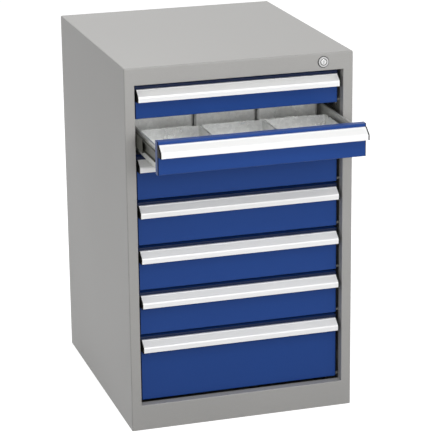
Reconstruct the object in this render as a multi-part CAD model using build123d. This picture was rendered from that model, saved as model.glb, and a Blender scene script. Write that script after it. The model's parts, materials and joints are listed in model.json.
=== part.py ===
from build123d import *
from math import atan2, degrees, hypot
import os

# Steel workshop and laboratory cabinet with seven drawers. Millimetres, +Z up.
# The origin is the middle of the underside. The fronts face -Y, and +X is to
# the right of someone who stands in front of the cabinet.

# Housing: a welded body with a folded frame round the drawer opening.
WIDTH = 500.0
DEPTH = 570.0
HEIGHT = 800.0
SHEET = 1.5
BEND = 3.0
OPENING_BEND = 2.0
STILE = 22.0
TOP_RAIL = 38.0
BOTTOM_RAIL = 56.0
RECESS = 20.0
REAR_FLANGE = 15.0

# Drawers, from the top one down.
FRONT_PITCHES = (75.0, 75.0, 100.0, 100.0, 100.0, 100.0, 150.0)
FRONT_GAP = 5.0
SIDE_GAP = 5.0
FRONT_SHEET = 1.2
FRONT_DEPTH = 16.0
FRONT_BEND = 2.0
TRAY_SHEET = 1.0
TRAY_BEND = 2.0
TRAY_SIDE_GAP = 31.0
TRAY_LENGTH = 490.0
TRAY_FLOOR_RISE = 6.0
TRAY_TOP_DROP = 16.0
TRAY_HEM = 4.0
OPEN_DRAWER = 2
OPEN_BY = 170.0

# Grip: an extruded section that hangs from the top of each front.
GRIP_DROP = 6.5
GRIP_REACH = 20.0
GRIP_HEIGHT = 24.0
GRIP_FLANGE = 19.0
GRIP_WALL = 2.2
CAP_WIDTH = 3.0
CAP_ROUND = 0.8
LABEL_MARGIN = 8.0
LABEL_THICK = 0.8
# Points of the section, from the front's face and the grip's top edge: the bead's
# start and middle, the ends of the sloping label face, the nose, and the inner
# corners behind the nose and under the bead.
BEAD_START = (-3.2, 0.0)
BEAD_MIDDLE = (-4.5, -0.5)
LABEL_START = (-5.0, -1.6)
LABEL_END = (-17.6, -11.0)
NOSE_MIDDLE = (-19.3, -12.8)
NOSE_END = (-GRIP_REACH, -15.5)
INNER_NOSE = (-GRIP_REACH + GRIP_WALL, -14.6)
INNER_BEAD = (-4.6, -4.6)
LABEL_EDGE = 0.8
LABEL_SLACK = 0.05

# Telescopic slides: three nested channels on each side of a drawer.
SLIDE_LENGTH = 470.0
SLIDE_RISE = 34.0
SLIDE_SHEET = 1.2
SLIDE_SPACE = 12.5
# Half heights of the channels, and how far their webs and lips are from the tray.
INNER_HALF = 11.0
MIDDLE_HALF = 14.0
OUTER_HALF = 17.0
INNER_LIP = 4.5
MIDDLE_WEB = 7.2
MIDDLE_LIP = 2.0
OUTER_LIP = 4.0

# Slotted uprights inside the housing.
POST_DEPTH = 30.0
POST_SETBACK = 15.0
POST_HIGH = HEIGHT - 12.0
SLOT_PITCH = 50.0
SLOT_WIDTH = 4.0
SLOT_HEIGHT = 14.0
FIRST_SLOT = 70.0

# Insert boxes of the second drawer: three rows of three. The lengths and
# heights are those of the front, the middle and the rear row.
BOX_COLUMNS = 3
BOX_WIDTH = 138.0
BOX_GAP = 3.0
BOX_LENGTHS = {"front": 200.0, "middle": 40.0, "rear": 226.0}
BOX_HEIGHTS = {"front": 32.0, "middle": 20.0, "rear": 52.0}
BOX_START = 10.0
BOX_SHEET = 0.8
BOX_CORNER = 6.0
BOX_RIM = 1.1
BOX_RIM_HEIGHT = 3.0

# Central lock: a turning plug, a cam and a bar with one finger per drawer.
LOCK_X = 183.0
LOCK_Z = 781.0
ROSETTE_R = 12.5
ROSETTE_THICK = 2.5
ROSETTE_ROUND = 1.6
BARREL_R = 9.0
BARREL_LENGTH = 24.0
BARREL_HOLE_R = 9.2
NUT_R = 12.0
NUT_THICK = 4.0
PLUG_R = 6.0
PLUG_PROUD = 3.0
PLUG_ROUND = 0.5
PLUG_CLEARANCE = 0.05
KEY_SLOT_WIDTH = 1.6
KEY_SLOT_HEIGHT = 7.2
KEY_SLOT_END = 6.0
CAM_THROW = 7.0
CAM_PIN_R = 2.0
CAM_THICK = 2.0
ARM_GAP = 3.0
ARM_HALF = 8.0
ARM_REACH = 12.0
SLOT_END = 4.0
SLOT_HALF = 4.5
CAM_SETBACK = 26.0
CAM_HUB_R = 5.5
PIN_PROUD = 1.0
BAR_OFFSET = 3.0
BAR_AHEAD = 5.0
BAR_DEPTH = 18.0
BAR_THICK = 2.5
BAR_LOW = 62.0
FINGER_RISE = 4.0
FINGER_HEIGHT = 4.0
FINGER_DEPTH = 6.0
FINGER_SETBACK = 3.0
FINGER_TO_TRAY = 1.5
NOTCH_PLAY = 1.0
NOTCH_WEB = 0.6
GUIDE_PLACES = (95.0, 640.0)
GUIDE_HEIGHT = 20.0
GUIDE_WALL = 1.0
GUIDE_SLACK = 0.4
GUIDE_LIP = 4.0

FRONT_Y = -DEPTH / 2
REAR_Y = DEPTH / 2
OPENING_HALF = WIDTH / 2 - STILE
OPENING_TOP = HEIGHT - TOP_RAIL
FACE_Y = FRONT_Y + RECESS
CAM_Y = FRONT_Y + CAM_SETBACK
FACE_HALF = OPENING_HALF - SIDE_GAP
TRAY_HALF = WIDTH / 2 - TRAY_SIDE_GAP
TRAY_FRONT_Y = FACE_Y + FRONT_SHEET
TRAY_REAR_Y = TRAY_FRONT_Y + TRAY_LENGTH
SLIDE_FRONT_Y = TRAY_REAR_Y - SLIDE_LENGTH
POST_INNER = TRAY_HALF + SLIDE_SPACE
POST_OUTER = WIDTH / 2 - SHEET
FRONT_POST_Y = FACE_Y + POST_SETBACK
REAR_POST_Y = TRAY_REAR_Y - POST_DEPTH
BAR_X = OPENING_HALF + BAR_OFFSET
BAR_FRONT_Y = FACE_Y - BAR_AHEAD
FINGER_Y = FACE_Y + FINGER_SETBACK
FINGER_TIP_X = TRAY_HALF + FINGER_TO_TRAY


def block(x0, x1, y0, y1, z0, z1):
    """A box between two corners."""
    return Pos(x0, y0, z0) * Box(x1 - x0, y1 - y0, z1 - z0, align=(Align.MIN,) * 3)


def cylinder_y(x, z, radius, y0, y1):
    """A cylinder along Y."""
    return Pos(x, y0, z) * Rot(-90, 0, 0) * Cylinder(
        radius, y1 - y0, align=(Align.CENTER, Align.CENTER, Align.MIN)
    )


def both_sides(right):
    """A right-hand piece and its mirror image."""
    return [mirror(right, about=Plane.YZ), right]


def save(name, pieces):
    """Write one node, which may be a group of separate solids."""
    if isinstance(pieces, (list, tuple)):
        pieces = Compound(children=list(pieces))
    export_step(pieces, f"parts/{name}.step")


def front_spans():
    """Lowest and highest Z of each drawer front, from the top drawer down."""
    spans = []
    top = BOTTOM_RAIL + sum(FRONT_PITCHES)
    for pitch in FRONT_PITCHES:
        spans.append((top - pitch + FRONT_GAP, top))
        top -= pitch
    return spans


def folded_block(half_x, y0, y1, z0, z1, radius):
    """A block whose upright front edges and top edges are rounded as folds."""
    solid = block(-half_x, half_x, y0, y1, z0, z1)
    upright = solid.edges().filter_by(Axis.Z).group_by(Axis.Y)[0]
    upper = solid.edges().group_by(Axis.Z)[-1]
    upper = [edge for edge in upper if edge.center().Y < y1 - radius]
    return fillet(list(upright) + upper, radius)


def housing_shell():
    half = WIDTH / 2
    shell = folded_block(half, FRONT_Y, REAR_Y, 0, HEIGHT, BEND)
    shell -= folded_block(
        half - SHEET, FRONT_Y + SHEET, REAR_Y - SHEET, -SHEET, HEIGHT - SHEET, BEND - SHEET
    )
    shell -= block(
        -half + REAR_FLANGE,
        half - REAR_FLANGE,
        REAR_Y - 2 * SHEET,
        REAR_Y + SHEET,
        REAR_FLANGE,
        HEIGHT - REAR_FLANGE,
    )
    reveal = block(
        -OPENING_HALF - SHEET,
        OPENING_HALF + SHEET,
        FRONT_Y + SHEET,
        FACE_Y,
        BOTTOM_RAIL - SHEET,
        OPENING_TOP + SHEET,
    )
    shell += reveal
    shell -= block(
        -OPENING_HALF, OPENING_HALF, FRONT_Y - SHEET, FACE_Y + SHEET, BOTTOM_RAIL, OPENING_TOP
    )
    frame_face = shell.faces().sort_by(Axis.Y)[0]
    shell = fillet(frame_face.inner_wires()[0].edges(), OPENING_BEND)
    hole = cylinder_y(LOCK_X, LOCK_Z, BARREL_HOLE_R, FRONT_Y - SHEET, FRONT_Y + 2 * SHEET)
    return shell - hole


def rear_panel():
    """A flat sheet against the rear flange of the housing."""
    half = WIDTH / 2 - SHEET
    back = REAR_Y - SHEET
    panel = block(-half, half, back - SHEET, back, 0, HEIGHT - SHEET)
    return fillet(panel.edges().filter_by(Axis.Y).group_by(Axis.Z)[-1], BEND - SHEET)


def base_panel():
    """The flat bottom sheet, between the side walls and the rear sheet."""
    half = WIDTH / 2 - SHEET
    panel = block(-half, half, FRONT_Y + SHEET, REAR_Y - 2 * SHEET, 0, SHEET)
    return fillet(panel.edges().filter_by(Axis.Z).group_by(Axis.Y)[0], BEND - SHEET)


def post(y0):
    """A slotted upright: its web faces the drawers and its flanges meet the side wall."""
    y1 = y0 + POST_DEPTH
    web_face = POST_INNER + SHEET
    channel = block(POST_INNER, POST_OUTER, y0, y1, SHEET, POST_HIGH)
    channel -= block(web_face, POST_OUTER + 1, y0 + SHEET, y1 - SHEET, 0, POST_HIGH + 1)
    slot_y = (y0 + y1 - SLOT_WIDTH) / 2
    z = FIRST_SLOT
    while z + SLOT_PITCH < POST_HIGH:
        channel -= block(
            POST_INNER - 1, web_face + 1, slot_y, slot_y + SLOT_WIDTH, z, z + SLOT_HEIGHT
        )
        z += SLOT_PITCH
    return channel


def bar_guide(z):
    """A folded clip, welded to the right front upright, that the lock bar slides in."""
    x0 = BAR_X - GUIDE_WALL - GUIDE_SLACK
    x1 = BAR_X + BAR_THICK + GUIDE_SLACK + GUIDE_WALL
    y0 = BAR_FRONT_Y - GUIDE_SLACK - GUIDE_WALL
    clip = block(x0, x1, y0, FRONT_POST_Y, z, z + GUIDE_HEIGHT)
    clip -= block(
        BAR_X - GUIDE_SLACK,
        BAR_X + BAR_THICK + GUIDE_SLACK,
        BAR_FRONT_Y - GUIDE_SLACK,
        BAR_FRONT_Y + BAR_DEPTH + GUIDE_SLACK,
        z - 1,
        z + GUIDE_HEIGHT + 1,
    )
    mouth_y0 = BAR_FRONT_Y + GUIDE_LIP
    mouth_y1 = BAR_FRONT_Y + BAR_DEPTH
    return clip - block(x0 - 1, BAR_X, mouth_y0, mouth_y1, z - 1, z + GUIDE_HEIGHT + 1)


def uprights(side):
    pair = [post(FRONT_POST_Y), post(REAR_POST_Y)]
    if side < 0:
        return [mirror(one, about=Plane.YZ) for one in pair]
    for z in GUIDE_PLACES:
        pair[0] += bar_guide(z)
    return pair


def slide_channel(x_web, x_lip, half_height, z, y0, y1):
    """A channel with its web at x_web and its two lips reaching to x_lip."""
    step = SLIDE_SHEET if x_lip > x_web else -SLIDE_SHEET
    low_x, high_x = sorted((x_web, x_lip))
    channel = block(low_x, high_x, y0, y1, z - half_height, z + half_height)
    cut_low, cut_high = sorted((x_web + step, x_lip + step))
    inner_half = half_height - SLIDE_SHEET
    return channel - block(cut_low, cut_high, y0 - 1, y1 + 1, z - inner_half, z + inner_half)


def cabinet_runner(z):
    """The outer channel of a slide, fixed to the uprights."""
    lip = TRAY_HALF + OUTER_LIP
    return slide_channel(POST_INNER, lip, OUTER_HALF, z, SLIDE_FRONT_Y, TRAY_REAR_Y)


def middle_runner(z, shift):
    """The middle channel of a slide, which moves half as far as its drawer."""
    return slide_channel(
        TRAY_HALF + MIDDLE_WEB,
        TRAY_HALF + MIDDLE_LIP,
        MIDDLE_HALF,
        z,
        SLIDE_FRONT_Y - shift,
        TRAY_REAR_Y - shift,
    )


def tray(low, high, shift):
    """A folded drawer body with hemmed walls and the inner slide channels welded on."""
    y0 = TRAY_FRONT_Y - shift
    y1 = TRAY_REAR_Y - shift
    z0 = low + TRAY_FLOOR_RISE
    z1 = high - TRAY_TOP_DROP
    body = block(-TRAY_HALF, TRAY_HALF, y0, y1, z0, z1)
    body = fillet(body.edges().filter_by(Axis.Y).group_by(Axis.Z)[0], TRAY_BEND)
    hem_half = TRAY_HALF - TRAY_HEM
    inner_half = TRAY_HALF - TRAY_SHEET
    body -= block(
        -inner_half,
        inner_half,
        y0 + TRAY_SHEET,
        y1 - TRAY_SHEET,
        z0 + TRAY_SHEET,
        z1 - TRAY_SHEET,
    )
    body -= block(
        -hem_half, hem_half, y0 + TRAY_SHEET, y1 - TRAY_HEM, z1 - 2 * TRAY_SHEET, z1 + 1
    )
    channel = slide_channel(
        TRAY_HALF,
        TRAY_HALF + INNER_LIP,
        INNER_HALF,
        low + SLIDE_RISE,
        SLIDE_FRONT_Y - shift,
        TRAY_REAR_Y - shift,
    )
    for side in both_sides(channel):
        body += side
    return body


def drawer_front(low, high, shift):
    """A folded front with a bayonet notch in its right flange for the lock finger."""
    y0 = FACE_Y - shift
    y1 = y0 + FRONT_DEPTH
    pan = block(-FACE_HALF, FACE_HALF, y0, y1, low, high)
    pan = fillet(pan.faces().sort_by(Axis.Y)[0].edges(), FRONT_BEND)
    wall = FRONT_SHEET
    pan -= block(
        -FACE_HALF + wall, FACE_HALF - wall, y0 + wall, y1 + 1, low + wall, high - wall
    )
    flange = FACE_HALF - wall - 1, FACE_HALF + 1
    rest_low = low + FINGER_RISE
    rest_high = rest_low + FINGER_HEIGHT
    notch_front = y0 + wall + NOTCH_WEB
    notch_low = rest_low - NOTCH_PLAY
    notch_high = rest_high + NOTCH_PLAY
    pocket_rear = FINGER_Y - shift + FINGER_DEPTH + NOTCH_PLAY
    pan -= block(*flange, notch_front, y1 + 1, notch_low, notch_high)
    return pan - block(*flange, notch_front, pocket_rear, notch_low, notch_high + CAM_THROW)


def grip_outline():
    """The outer line of the grip: a bead, the sloping label face and an upright lip."""
    return (
        Line((0, 0), BEAD_START)
        + ThreePointArc(BEAD_START, BEAD_MIDDLE, LABEL_START)
        + Line(LABEL_START, LABEL_END)
        + ThreePointArc(LABEL_END, NOSE_MIDDLE, NOSE_END)
        + Line(NOSE_END, (-GRIP_REACH, -GRIP_HEIGHT))
    )


def grip_section():
    """The open section: a wall of one thickness, with a flange against the front."""
    inner = Polyline(
        (-GRIP_REACH, -GRIP_HEIGHT),
        (-GRIP_REACH + GRIP_WALL, -GRIP_HEIGHT),
        INNER_NOSE,
        INNER_BEAD,
        (-GRIP_WALL, INNER_BEAD[1]),
        (-GRIP_WALL, -GRIP_FLANGE),
        (0, -GRIP_FLANGE),
        (0, 0),
    )
    return make_face(grip_outline() + inner)


def cap_section():
    """The filled section of an end cap."""
    closing = Polyline((-GRIP_REACH, -GRIP_HEIGHT), (0, -GRIP_HEIGHT), (0, 0))
    return make_face(grip_outline() + closing)


def along_front(section, x0, x1, high, shift):
    """Extrude a grip section along X between x0 and x1, below a front's top edge."""
    place = Plane(origin=(x0, FACE_Y - shift, high - GRIP_DROP), x_dir=(0, 1, 0), z_dir=(1, 0, 0))
    return extrude(place * section, x1 - x0)


def label_strip(high, shift, slack):
    """The insert strip that lies in the grip's sloping face."""
    run = hypot(LABEL_END[0] - LABEL_START[0], LABEL_END[1] - LABEL_START[1])
    tilt = degrees(atan2(LABEL_END[1] - LABEL_START[1], LABEL_END[0] - LABEL_START[0]))
    length = 2 * (FACE_HALF - CAP_WIDTH - LABEL_MARGIN)
    strip = Box(
        length - 2 * slack,
        run - 2 * LABEL_EDGE - 2 * slack,
        LABEL_THICK,
        align=(Align.CENTER, Align.CENTER, Align.MAX),
    )
    middle_y = FACE_Y - shift + (LABEL_START[0] + LABEL_END[0]) / 2
    middle_z = high - GRIP_DROP + (LABEL_START[1] + LABEL_END[1]) / 2
    return Pos(0, middle_y, middle_z) * Rot(tilt + 180, 0, 0) * strip


def grip(high, shift):
    inner_half = FACE_HALF - CAP_WIDTH
    bar = along_front(grip_section(), -inner_half, inner_half, high, shift)
    return bar - label_strip(high, shift, 0.0)


def end_caps(high, shift):
    cap = along_front(cap_section(), FACE_HALF - CAP_WIDTH, FACE_HALF, high, shift)
    outer_edges = cap.faces().sort_by(Axis.X)[-1].edges()
    visible = [edge for edge in outer_edges if edge.center().Y < FACE_Y - shift - 0.5]
    return both_sides(fillet(visible, CAP_ROUND))


def rounded_block(x, y, length, inset, z0, z1):
    """A box's plan, drawn in by inset from its outer line, between two heights."""
    half_x = BOX_WIDTH / 2 - inset
    solid = block(x - half_x, x + half_x, y + inset, y + length - inset, z0, z1)
    return fillet(solid.edges().filter_by(Axis.Z), BOX_CORNER - inset)


def insert_box(x, y, z, length, height):
    """An open drawn box with rounded upright corners and a rolled rim."""
    top = z + height
    outer = rounded_block(x, y, length, 0, z, top)
    rim = rounded_block(x, y, length, -BOX_RIM, top - BOX_RIM_HEIGHT, top)
    return outer + rim - rounded_block(x, y, length, BOX_SHEET, z + BOX_SHEET, top + 1)


def insert_row(y, length, height):
    """Boxes side by side on the open drawer's floor, with their fronts at y."""
    low = front_spans()[OPEN_DRAWER - 1][0]
    floor = low + TRAY_FLOOR_RISE + TRAY_SHEET
    pitch = BOX_WIDTH + BOX_GAP
    first_x = -pitch * (BOX_COLUMNS - 1) / 2
    return [
        insert_box(first_x + pitch * column, y, floor, length, height)
        for column in range(BOX_COLUMNS)
    ]


def lock_barrel():
    """A turned barrel: a domed rosette on the rail, a body through it and a nut behind."""
    rosette = cylinder_y(LOCK_X, LOCK_Z, ROSETTE_R, FRONT_Y - ROSETTE_THICK, FRONT_Y)
    rosette = fillet(rosette.edges().group_by(Axis.Y)[0], ROSETTE_ROUND)
    barrel_end = FRONT_Y + BARREL_LENGTH
    body = cylinder_y(LOCK_X, LOCK_Z, BARREL_R, FRONT_Y, barrel_end)
    nut_sketch = RegularPolygon(radius=NUT_R, side_count=6)
    nut_plane = Plane(
        origin=(LOCK_X, FRONT_Y + SHEET, LOCK_Z), x_dir=(1, 0, 0), z_dir=(0, 1, 0)
    )
    nut = extrude(nut_plane * nut_sketch, NUT_THICK)
    bore_r = PLUG_R + PLUG_CLEARANCE
    bore = cylinder_y(LOCK_X, LOCK_Z, bore_r, FRONT_Y - ROSETTE_THICK - 1, barrel_end + 1)
    return rosette + body + nut - bore


def lock_plug():
    """The turning plug, with the slot for a flat key in its face."""
    plug = cylinder_y(LOCK_X, LOCK_Z, PLUG_R, FRONT_Y - PLUG_PROUD, CAM_Y)
    plug = fillet(plug.edges().group_by(Axis.Y)[0], PLUG_ROUND)
    slot = block(
        LOCK_X - KEY_SLOT_WIDTH / 2,
        LOCK_X + KEY_SLOT_WIDTH / 2,
        FRONT_Y - PLUG_PROUD - 1,
        FRONT_Y + KEY_SLOT_END,
        LOCK_Z - KEY_SLOT_HEIGHT / 2,
        LOCK_Z + KEY_SLOT_HEIGHT / 2,
    )
    return plug - slot


def lock_cam():
    """A crank on the plug's tail; its pin runs in the slot of the lock bar's arm."""
    back = CAM_Y + CAM_THICK
    hub = cylinder_y(LOCK_X, LOCK_Z, CAM_HUB_R, CAM_Y, back)
    tip = cylinder_y(LOCK_X + CAM_THROW, LOCK_Z, 2 * CAM_PIN_R, CAM_Y, back)
    pin_end = back + ARM_GAP + BAR_THICK + PIN_PROUD
    pin = cylinder_y(LOCK_X + CAM_THROW, LOCK_Z, CAM_PIN_R, back, pin_end)
    return hub + tip + pin


def lock_bar():
    """The sliding bar, with an arm behind the top rail that takes the cam's pin."""
    bar = block(
        BAR_X, BAR_X + BAR_THICK, BAR_FRONT_Y, BAR_FRONT_Y + BAR_DEPTH, BAR_LOW, LOCK_Z + ARM_HALF
    )
    arm_y = CAM_Y + CAM_THICK + ARM_GAP
    arm = block(
        LOCK_X - ARM_REACH,
        BAR_X + BAR_THICK,
        arm_y,
        arm_y + BAR_THICK,
        LOCK_Z - ARM_HALF,
        LOCK_Z + ARM_HALF,
    )
    slot = block(
        LOCK_X - SLOT_END,
        LOCK_X + CAM_THROW + SLOT_END,
        arm_y - 1,
        arm_y + BAR_THICK + 1,
        LOCK_Z - SLOT_HALF,
        LOCK_Z + SLOT_HALF,
    )
    return bar + (arm - slot)


def lock_fingers():
    """One finger for each drawer, welded to the inner face of the lock bar."""
    return [
        block(
            FINGER_TIP_X,
            BAR_X,
            FINGER_Y,
            FINGER_Y + FINGER_DEPTH,
            low + FINGER_RISE,
            low + FINGER_RISE + FINGER_HEIGHT,
        )
        for low, _ in front_spans()
    ]


def save_drawer(number, low, high):
    shift = OPEN_BY if number == OPEN_DRAWER else 0.0
    name = f"drawer_{number}"
    save(f"{name}_tray", tray(low, high, shift))
    save(f"{name}_front", drawer_front(low, high, shift))
    save(f"{name}_handle", grip(high, shift))
    save(f"{name}_end_caps", end_caps(high, shift))
    save(f"{name}_label", label_strip(high, shift, LABEL_SLACK))
    save(f"{name}_slides", both_sides(middle_runner(low + SLIDE_RISE, shift / 2)))


def save_housing():
    save("housing_shell", housing_shell())
    save("rear_panel", rear_panel())
    save("base_panel", base_panel())
    save("left_uprights", uprights(-1))
    save("right_uprights", uprights(1))
    runners = [cabinet_runner(low + SLIDE_RISE) for low, _ in front_spans()]
    save("right_runners", runners)
    save("left_runners", [mirror(runner, about=Plane.YZ) for runner in runners])


def save_lock():
    save("lock_barrel", lock_barrel())
    save("lock_plug", lock_plug())
    save("lock_cam", lock_cam())
    save("lock_bar", lock_bar())
    save("lock_fingers", lock_fingers())


os.makedirs("parts", exist_ok=True)
save_housing()
save_lock()
for drawer, (front_low, front_high) in enumerate(front_spans(), start=1):
    save_drawer(drawer, front_low, front_high)
row_y = TRAY_FRONT_Y + TRAY_SHEET + BOX_START - OPEN_BY
for row_name, row_length in BOX_LENGTHS.items():
    save(f"insert_boxes_{row_name}", insert_row(row_y, row_length, BOX_HEIGHTS[row_name]))
    row_y += row_length + BOX_GAP
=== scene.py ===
import json
import math

import bpy
from mathutils import Matrix, Vector

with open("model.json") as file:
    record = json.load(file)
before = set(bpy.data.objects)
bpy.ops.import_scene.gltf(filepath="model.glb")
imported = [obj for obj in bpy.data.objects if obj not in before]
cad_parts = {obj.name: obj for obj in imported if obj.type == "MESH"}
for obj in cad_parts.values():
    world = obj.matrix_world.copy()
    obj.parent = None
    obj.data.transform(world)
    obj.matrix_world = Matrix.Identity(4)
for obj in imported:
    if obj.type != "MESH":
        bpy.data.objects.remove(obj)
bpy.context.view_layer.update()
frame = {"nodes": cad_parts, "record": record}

MM = 0.001
NODES = frame["nodes"]

# --- driving values ----------------------------------------------------------

# Camera: worked out from the corners of the body in the photograph's 440 x 440 frame.
FRAME_PIXELS = 440.0
SENSOR_MM = 36.0
FOCAL_PIXELS = 2049.0
CAMERA_PLACE = Vector((-1.2579, -4.2443, 1.7471))
CAMERA_AZIMUTH = math.radians(16.994)
CAMERA_DOWN = math.radians(17.314)
CAMERA_ROLL = math.radians(-0.636)
CLIP_NEAR = 0.1
CLIP_FAR = 60.0

# Lamps: name, place, the point that each faces, width and height, and watts.
LAMPS = (
    ("high_softbox", (0.1, -1.65, 1.95), (0, -0.2, 0.5), (1.3, 0.7), 8.8),
    ("front_softbox", (0.05, -1.95, 1.05), (0, 0, 0.65), (1.7, 0.5), 17.5),
    ("top_softbox", (-0.2, 2.0, 3.2), (0, 0, 0.7), (2.2, 1.8), 55),
    ("left_softbox", (-2.1, -0.3, 0.9), (0, 0, 0.45), (1.0, 1.0), 1.8),
    ("right_softbox", (2.1, -0.1, 0.9), (0, 0, 0.45), (1.0, 1.0), 8),
)

# Sky and floor: the floor lies just under the cabinet.
SKY_STRENGTH = 0.36
FLOOR_LIFT = 0.85
FLOOR_HALF = 12.0
FLOOR_DROP = 0.5 * MM
FLOOR_TONES = (0.38, 0.4)
FLOOR_ROUGHNESS = 0.9

# Colours, in linear light.
BODY_GREY = (0.375, 0.369, 0.358)
FRONT_BLUE = (0.012, 0.053, 0.235)
ALUMINIUM = (0.82, 0.82, 0.822)
ZINC = (0.62, 0.625, 0.6)
BOX_ZINC = (0.8, 0.805, 0.79)
# Dark steel for the slides: partly the steel's own tone, partly painted shade for the shadow
# along the drawers' sides.
SHADED_SLIDE_STEEL = (0.085, 0.086, 0.072)
# Zinc-plated steel of the parts inside the cabinet, darkened as painted shade for the dim
# inside.
SHADED_INNER_STEEL = (0.2, 0.2, 0.19)
LABEL_WHITE = (0.8, 0.8, 0.795)
BLACK_TONES = (0.006, 0.011)
# Painted shade: the share of the blue left in the strip above each closed grip and at the
# fronts' side folds.
PAINTED_SHADE = 0.2

# The lock's axis and rosette, and shades of its plating from the middle outwards,
# each at a share of the rosette's radius. The dark seam round the plug and the
# dark ring at the rosette's edge are painted shade.
LOCK_AXIS = (183 * MM, 0, 781 * MM)
ROSETTE_R = 12.5 * MM
LOCK_SHADE_RINGS = (
    (0.0, 0.72),
    (0.47, 0.72),
    (0.5, 0.04),
    (0.56, 0.04),
    (0.6, 0.5),
    (0.8, 0.62),
    (0.9, 0.1),
)

# Half width of a drawer body: its slide channels lie further out.
TRAY_HALF = 219.1 * MM

# Heights in millimetres of the closed drawers' front tops and of the strip that
# shows above each grip, and where a front's rounded side folds are: their middle
# and half their width. Painted shade darkens these strips and folds, standing in
# for the shadow in the recess and in the creases.
FRONT_TOPS = (756, 606, 506, 406, 306, 206)
STRIP_HEIGHT = 6.5
SIDE_FOLD = 221.85 * MM
SIDE_FOLD_HALF = 1.0 * MM

# Grain: noise cells for each metre, or along X, Y and Z where it runs one way.
PAINT_CLOUDS = 2.5
PAINT_SPECKS = 1500.0
PAINT_PEEL = 260.0
ZINC_SPANGLES = 160.0
ZINC_CLOUDS = 9.0
ROLLING_LINES = (700.0, 12.0, 700.0)
DRAWING_LINES = (3.0, 1400.0, 1400.0)
PLATING_MARKS = 900.0
MOULD_GRAIN = 1800.0
CARD_FIBRES = 700.0
FLOOR_GRAIN = 30.0

# Depths of the grain's relief.
SPECK_DEPTH = 0.08 * MM
PEEL_DEPTH = 0.3 * MM
ROLLING_DEPTH = 0.1 * MM
DRAWING_DEPTH = 0.05 * MM
MOULD_DEPTH = 0.06 * MM

# Most noise lies between these values, so most ramps stretch that part of it.
NOISE_LOW = 0.3
NOISE_HIGH = 0.7

# Colour sockets of a Mix node: they share their names with its number sockets.
MIX_FIRST = 6
MIX_SECOND = 7
MIX_RESULT = 2


# --- small helpers -----------------------------------------------------------


class Graph:
    """A material's node graph, with short ways to add nodes and wires."""

    def __init__(self, name):
        self.material = bpy.data.materials.new(name)
        self.material.use_nodes = True
        self.tree = self.material.node_tree
        self.tree.nodes.clear()
        self.output = self.add("ShaderNodeOutputMaterial")
        self.shader = self.add("ShaderNodeBsdfPrincipled")
        self.wire(self.shader, "BSDF", self.output, "Surface")
        self.place = self.add("ShaderNodeTexCoord")

    def add(self, kind, **settings):
        node = self.tree.nodes.new(kind)
        for key, value in settings.items():
            setattr(node, key, value)
        return node

    def wire(self, source, output, target, socket):
        self.tree.links.new(source.outputs[output], target.inputs[socket])

    def feed(self, value, socket):
        """Wire a socket to another one, or set it to a plain number or colour."""
        if isinstance(value, bpy.types.NodeSocket):
            self.tree.links.new(value, socket)
        else:
            socket.default_value = value

    def set(self, **values):
        for key, value in values.items():
            self.shader.inputs[key.replace("_", " ")].default_value = value

    def maths(self, operation, *values):
        """A number worked out from sockets or plain numbers."""
        node = self.add("ShaderNodeMath", operation=operation)
        for value, socket in zip(values, node.inputs):
            self.feed(value, socket)
        return node.outputs[0]

    def blend(self, first, second, factor=1.0, kind="MULTIPLY"):
        """A colour mixed from two sockets or plain colours."""
        node = self.add("ShaderNodeMix", data_type="RGBA", blend_type=kind)
        self.feed(factor, node.inputs["Factor"])
        self.feed(first, node.inputs[MIX_FIRST])
        self.feed(second, node.inputs[MIX_SECOND])
        return node.outputs[MIX_RESULT]

    def stretched(self, scale):
        """Object coordinates, stretched, for grain that runs one way."""
        mapping = self.add("ShaderNodeMapping")
        mapping.inputs["Scale"].default_value = scale
        self.wire(self.place, "Object", mapping, "Vector")
        return mapping

    def noise(self, scale, detail=2.0):
        node = self.add("ShaderNodeTexNoise")
        node.inputs["Scale"].default_value = scale
        node.inputs["Detail"].default_value = detail
        self.wire(self.place, "Object", node, "Vector")
        return node.outputs["Fac"]

    def lines(self, scale, detail):
        """Noise drawn out into lines, by a scale along each of X, Y and Z."""
        node = self.add("ShaderNodeTexNoise")
        node.inputs["Scale"].default_value = 1.0
        node.inputs["Detail"].default_value = detail
        self.wire(self.stretched(scale), "Vector", node, "Vector")
        return node.outputs["Fac"]

    def ramp(self, value, first, second, low=NOISE_LOW, high=NOISE_HIGH):
        """A colour that runs from first at low to second at high."""
        node = self.add("ShaderNodeValToRGB")
        ends = node.color_ramp.elements
        ends[0].position, ends[0].color = low, (*first, 1)
        ends[1].position, ends[1].color = high, (*second, 1)
        self.feed(value, node.inputs["Fac"])
        return node.outputs["Color"]

    def paint(self, colour):
        self.feed(colour, self.shader.inputs["Base Color"])

    def gloss(self, value, smooth, rough, low=NOISE_LOW, high=NOISE_HIGH):
        """Roughness that wanders between two values."""
        spread = self.ramp(value, grey(smooth), grey(rough), low, high)
        self.feed(spread, self.shader.inputs["Roughness"])

    def bump(self, height, strength, distance, under=None):
        node = self.add("ShaderNodeBump")
        node.inputs["Strength"].default_value = strength
        node.inputs["Distance"].default_value = distance
        self.feed(height, node.inputs["Height"])
        if under is not None:
            self.wire(under, "Normal", node, "Normal")
        self.wire(node, "Normal", self.shader, "Normal")
        return node


def grey(value):
    return (value, value, value)


def scaled(colour, factor):
    return tuple(channel * factor for channel in colour)


# --- materials ---------------------------------------------------------------


def position(g):
    """The X, Y and Z of a point in the cabinet's own frame."""
    split = g.add("ShaderNodeSeparateXYZ")
    g.wire(g.place, "Object", split, "Vector")
    return split.outputs


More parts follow.
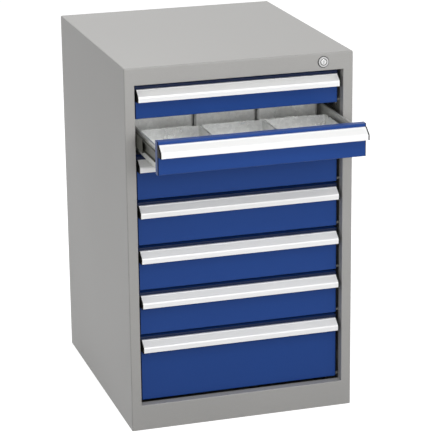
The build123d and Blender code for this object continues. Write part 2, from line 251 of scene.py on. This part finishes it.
def painted_crease_shade(g, colour):
    """Paint shade onto a closed drawer's front above its grip, and onto each front at its side
    folds: painted shade for the shadow in that recess and those creases.
    """
    x, _, z = position(g)
    shade_mask = g.maths("COMPARE", g.maths("ABSOLUTE", x), SIDE_FOLD, SIDE_FOLD_HALF)
    half = STRIP_HEIGHT / 2
    for top in FRONT_TOPS:
        strip = g.maths("COMPARE", z, (top - half) * MM, half * MM)
        shade_mask = g.maths("MAXIMUM", shade_mask, strip)
    return g.blend(colour, (*grey(PAINTED_SHADE), 1), shade_mask)


def powder_coat(name, colour, roughness, peel, sheen, with_painted_shade=False):
    """Powder coat: a faint cloudy tone, fine orange peel and a satin gloss, and painted shade
    in the fronts' creases when asked for.
    """
    g = Graph(name)
    cloud = g.noise(PAINT_CLOUDS, detail=3.0)
    speck = g.noise(PAINT_SPECKS, detail=1.0)
    tone = g.ramp(cloud, scaled(colour, 0.965), scaled(colour, 1.03))
    speck_tone = g.ramp(speck, grey(0.94), grey(1.0), low=0.35, high=0.65)
    coat = g.blend(tone, speck_tone)
    g.paint(painted_crease_shade(g, coat) if with_painted_shade else coat)
    g.gloss(cloud, roughness - 0.03, roughness + 0.04, low=0.25, high=0.75)
    low_peel = g.bump(g.noise(PAINT_PEEL), peel * 0.5, PEEL_DEPTH)
    g.bump(speck, peel, SPECK_DEPTH, under=low_peel)
    g.set(IOR=1.5, Specular_IOR_Level=sheen)
    return g.material


def zinc_sheet(name, colour, metal, roughness, sheen=0.5, waves=0.12, channel=None):
    """Zinc-plated sheet: small spangles, rolling lines and uneven gloss.

    With a channel colour, what lies outside a drawer body is of that steel, whose darkness is
    partly painted shade for the shaded slide channels.
    """
    g = Graph(name)
    spangle = g.add("ShaderNodeTexVoronoi")
    spangle.inputs["Scale"].default_value = ZINC_SPANGLES
    g.wire(g.place, "Object", spangle, "Vector")
    rolled = g.lines(ROLLING_LINES, detail=3.0)
    dark, bright = scaled(colour, 0.9), scaled(colour, 1.08)
    tone = g.ramp(spangle.outputs["Color"], dark, bright, low=0.0, high=1.0)
    sheet = g.blend(tone, g.ramp(rolled, grey(0.9), grey(1.0)))
    if channel is not None:
        x = position(g)["X"]
        outside = g.maths("GREATER_THAN", g.maths("ABSOLUTE", x), TRAY_HALF)
        sheet = g.blend(sheet, (*channel, 1), outside, kind="MIX")
    g.paint(sheet)
    g.gloss(g.noise(ZINC_CLOUDS, detail=3.0), roughness - 0.07, roughness + 0.07)
    g.bump(rolled, waves, ROLLING_DEPTH)
    g.set(Metallic=metal, Specular_IOR_Level=sheen)
    return g.material


def anodised(name, colour):
    """Anodised extrusion: drawing lines along X and a soft satin gloss."""
    g = Graph(name)
    drawn = g.lines(DRAWING_LINES, detail=4.0)
    g.paint(g.ramp(drawn, scaled(colour, 0.95), colour))
    g.gloss(drawn, 0.42, 0.54, low=0.25, high=0.75)
    g.bump(drawn, 0.1, DRAWING_DEPTH)
    g.set(Metallic=0.25)
    return g.material


def chrome(name):
    """Plating on the lock: a bright plug and a darker rim, with painted shade as a dark seam
    round the plug and a dark ring at the rosette's edge.
    """
    g = Graph(name)
    flat = g.add("ShaderNodeVectorMath", operation="MULTIPLY")
    g.wire(g.place, "Object", flat, 0)
    flat.inputs[1].default_value = (1, 0, 1)
    reach = g.add("ShaderNodeVectorMath", operation="DISTANCE")
    g.wire(flat, "Vector", reach, 0)
    reach.inputs[1].default_value = LOCK_AXIS
    shade_rings = g.add("ShaderNodeValToRGB")
    stops = shade_rings.color_ramp.elements
    for stop, (place, shade) in zip(stops, (LOCK_SHADE_RINGS[0], LOCK_SHADE_RINGS[-1])):
        stop.position, stop.color = place, (*grey(shade), 1)
    for place, shade in LOCK_SHADE_RINGS[1:-1]:
        stops.new(place).color = (*grey(shade), 1)
    g.feed(g.maths("DIVIDE", reach.outputs["Value"], ROSETTE_R), shade_rings.inputs["Fac"])
    g.paint(shade_rings.outputs["Color"])
    g.gloss(g.noise(PLATING_MARKS, detail=3.0), 0.1, 0.2)
    g.set(Metallic=1.0)
    return g.material


def moulded_black(name):
    """Black moulded plastic with a fine spark-eroded grain."""
    g = Graph(name)
    grain = g.noise(MOULD_GRAIN)
    g.paint(g.ramp(grain, grey(BLACK_TONES[0]), grey(BLACK_TONES[1])))
    g.gloss(grain, 0.42, 0.55)
    g.bump(grain, 0.2, MOULD_DEPTH)
    g.set(Specular_IOR_Level=0.06)
    return g.material


def label_card(name, colour):
    """Blank card behind a clear film: paper fibre under a glossy coat."""
    g = Graph(name)
    fibre = g.noise(CARD_FIBRES, detail=4.0)
    g.paint(g.ramp(fibre, scaled(colour, 0.97), colour))
    g.gloss(fibre, 0.5, 0.6)
    g.set(Coat_Weight=0.25, Coat_Roughness=0.2)
    return g.material


def make_materials():
    return {
        "grey_paint": powder_coat(
            "grey_powder_coat", BODY_GREY, roughness=0.38, peel=0.2, sheen=0.35
        ),
        # The blue fronts carry painted shade above their grips and at their side folds.
        "blue_paint": powder_coat(
            "blue_powder_coat_painted_shade", FRONT_BLUE, roughness=0.36, peel=0.16, sheen=0.18, with_painted_shade=True
        ),
        "aluminium": anodised("anodised_aluminium", ALUMINIUM),
        # The parts inside the cabinet take a darkened zinc: painted shade.
        "zinc_steel": zinc_sheet("inner_steel_painted_shade", SHADED_INNER_STEEL, metal=0.4, roughness=0.4),
        # The trays' slide channels and the slides are dark steel, partly painted shade.
        "tray": zinc_sheet(
            "tray_zinc_shaded_channels", ZINC, metal=0.45, roughness=0.33, sheen=0.2, channel=SHADED_SLIDE_STEEL
        ),
        "box": zinc_sheet("box_zinc", BOX_ZINC, metal=0.75, roughness=0.3, waves=0.04),
        "slide": zinc_sheet(
            "slide_steel_painted_shade", SHADED_SLIDE_STEEL, metal=0.15, roughness=0.45, sheen=0.1
        ),
        # The lock's plating carries painted shade in its dark seam and outer ring.
        "chrome": chrome("chrome_plate_painted_shade"),
        "black_plastic": moulded_black("black_plastic"),
        "label_paper": label_card("label_card", LABEL_WHITE),
    }


def paint_nodes(materials):
    """Each node takes its record slot's material; trays, boxes and slides have their own."""
    for part in frame["record"]["subparts"]:
        name = part["node"]
        slot = part["material_slot"]
        if name.endswith("_tray"):
            slot = "tray"
        elif name.startswith("insert_boxes"):
            slot = "box"
        elif name.endswith(("_slides", "_runners")):
            slot = "slide"
        NODES[name].data.materials.clear()
        NODES[name].data.materials.append(materials[slot])


# --- studio ------------------------------------------------------------------


def seen_rays(tree):
    """1 for the rays that show a surface itself: from the camera, or by gloss or glass."""
    path = tree.nodes.new("ShaderNodeLightPath")
    seen = path.outputs["Is Camera Ray"]
    for ray in ("Is Transmission Ray", "Is Glossy Ray"):
        either = tree.nodes.new("ShaderNodeMath")
        either.operation = "MAXIMUM"
        tree.links.new(seen, either.inputs[0])
        tree.links.new(path.outputs[ray], either.inputs[1])
        seen = either.outputs[0]
    return seen


def make_floor():
    """A pale floor that is white to the camera outside the object's shadow."""
    g = Graph("floor_paper")
    first, second = FLOOR_TONES
    g.paint(g.ramp(g.noise(FLOOR_GRAIN), grey(first), grey(second)))
    g.set(Roughness=FLOOR_ROUGHNESS)
    seen = seen_rays(g.tree)
    lift = g.add("ShaderNodeEmission")
    lift.inputs["Strength"].default_value = FLOOR_LIFT
    add = g.add("ShaderNodeAddShader")
    pick = g.add("ShaderNodeMixShader")
    g.wire(g.shader, "BSDF", add, 0)
    g.wire(lift, "Emission", add, 1)
    g.feed(seen, pick.inputs["Fac"])
    g.wire(g.shader, "BSDF", pick, 1)
    g.wire(add, "Shader", pick, 2)
    g.wire(pick, "Shader", g.output, "Surface")
    mesh = bpy.data.meshes.new("floor")
    half = FLOOR_HALF
    corners = [(-half, -half, 0), (half, -half, 0), (half, half, 0), (-half, half, 0)]
    mesh.from_pydata(corners, [], [(0, 1, 2, 3)])
    mesh.materials.append(g.material)
    floor = bpy.data.objects.new("floor", mesh)
    bpy.context.scene.collection.objects.link(floor)
    floor.location = (0, 0, -FLOOR_DROP)


def make_world():
    """Even sky light, and plain white to the camera and in reflections."""
    world = bpy.data.worlds.new("studio")
    bpy.context.scene.world = world
    world.use_nodes = True
    tree = world.node_tree
    tree.nodes.clear()
    output = tree.nodes.new("ShaderNodeOutputWorld")
    sky = tree.nodes.new("ShaderNodeBackground")
    sky.inputs["Color"].default_value = (1, 1, 1, 1)
    sky.inputs["Strength"].default_value = SKY_STRENGTH
    white = tree.nodes.new("ShaderNodeBackground")
    white.inputs["Color"].default_value = (1, 1, 1, 1)
    white.inputs["Strength"].default_value = 1.0
    pick = tree.nodes.new("ShaderNodeMixShader")
    tree.links.new(seen_rays(tree), pick.inputs["Fac"])
    tree.links.new(sky.outputs[0], pick.inputs[1])
    tree.links.new(white.outputs[0], pick.inputs[2])
    tree.links.new(pick.outputs[0], output.inputs["Surface"])


def make_lamp(name, place, target, size, watts):
    """A white softbox that the camera doesn't see."""
    light = bpy.data.lights.new(name, "AREA")
    light.shape = "RECTANGLE"
    light.size, light.size_y = size
    light.energy = watts
    lamp = bpy.data.objects.new(name, light)
    lamp.location = place
    aim = Vector(target) - Vector(place)
    lamp.rotation_mode = "QUATERNION"
    lamp.rotation_quaternion = aim.to_track_quat("-Z", "Y")
    lamp.visible_camera = False
    bpy.context.scene.collection.objects.link(lamp)


def make_camera():
    """The photograph's point of view: no shift, a long lens, a slight roll."""
    camera = bpy.data.cameras.new("camera")
    camera.sensor_width = SENSOR_MM
    camera.lens = FOCAL_PIXELS / FRAME_PIXELS * SENSOR_MM
    camera.clip_start, camera.clip_end = CLIP_NEAR, CLIP_FAR
    holder = bpy.data.objects.new("camera", camera)
    az, down, roll = CAMERA_AZIMUTH, CAMERA_DOWN, CAMERA_ROLL
    forward = Vector(
        (math.sin(az) * math.cos(down), math.cos(az) * math.cos(down), -math.sin(down))
    )
    level = Vector((math.cos(az), -math.sin(az), 0))
    up = level.cross(forward)
    right = level * math.cos(roll) + up * math.sin(roll)
    up = up * math.cos(roll) - level * math.sin(roll)
    turn = Matrix((right, up, -forward)).transposed()
    holder.matrix_world = Matrix.Translation(CAMERA_PLACE) @ turn.to_4x4()
    bpy.context.scene.collection.objects.link(holder)
    bpy.context.scene.camera = holder


make_camera()
make_world()
for lamp_row in LAMPS:
    make_lamp(*lamp_row)
make_floor()
paint_nodes(make_materials())

bpy.context.scene.view_settings.view_transform = "Standard"
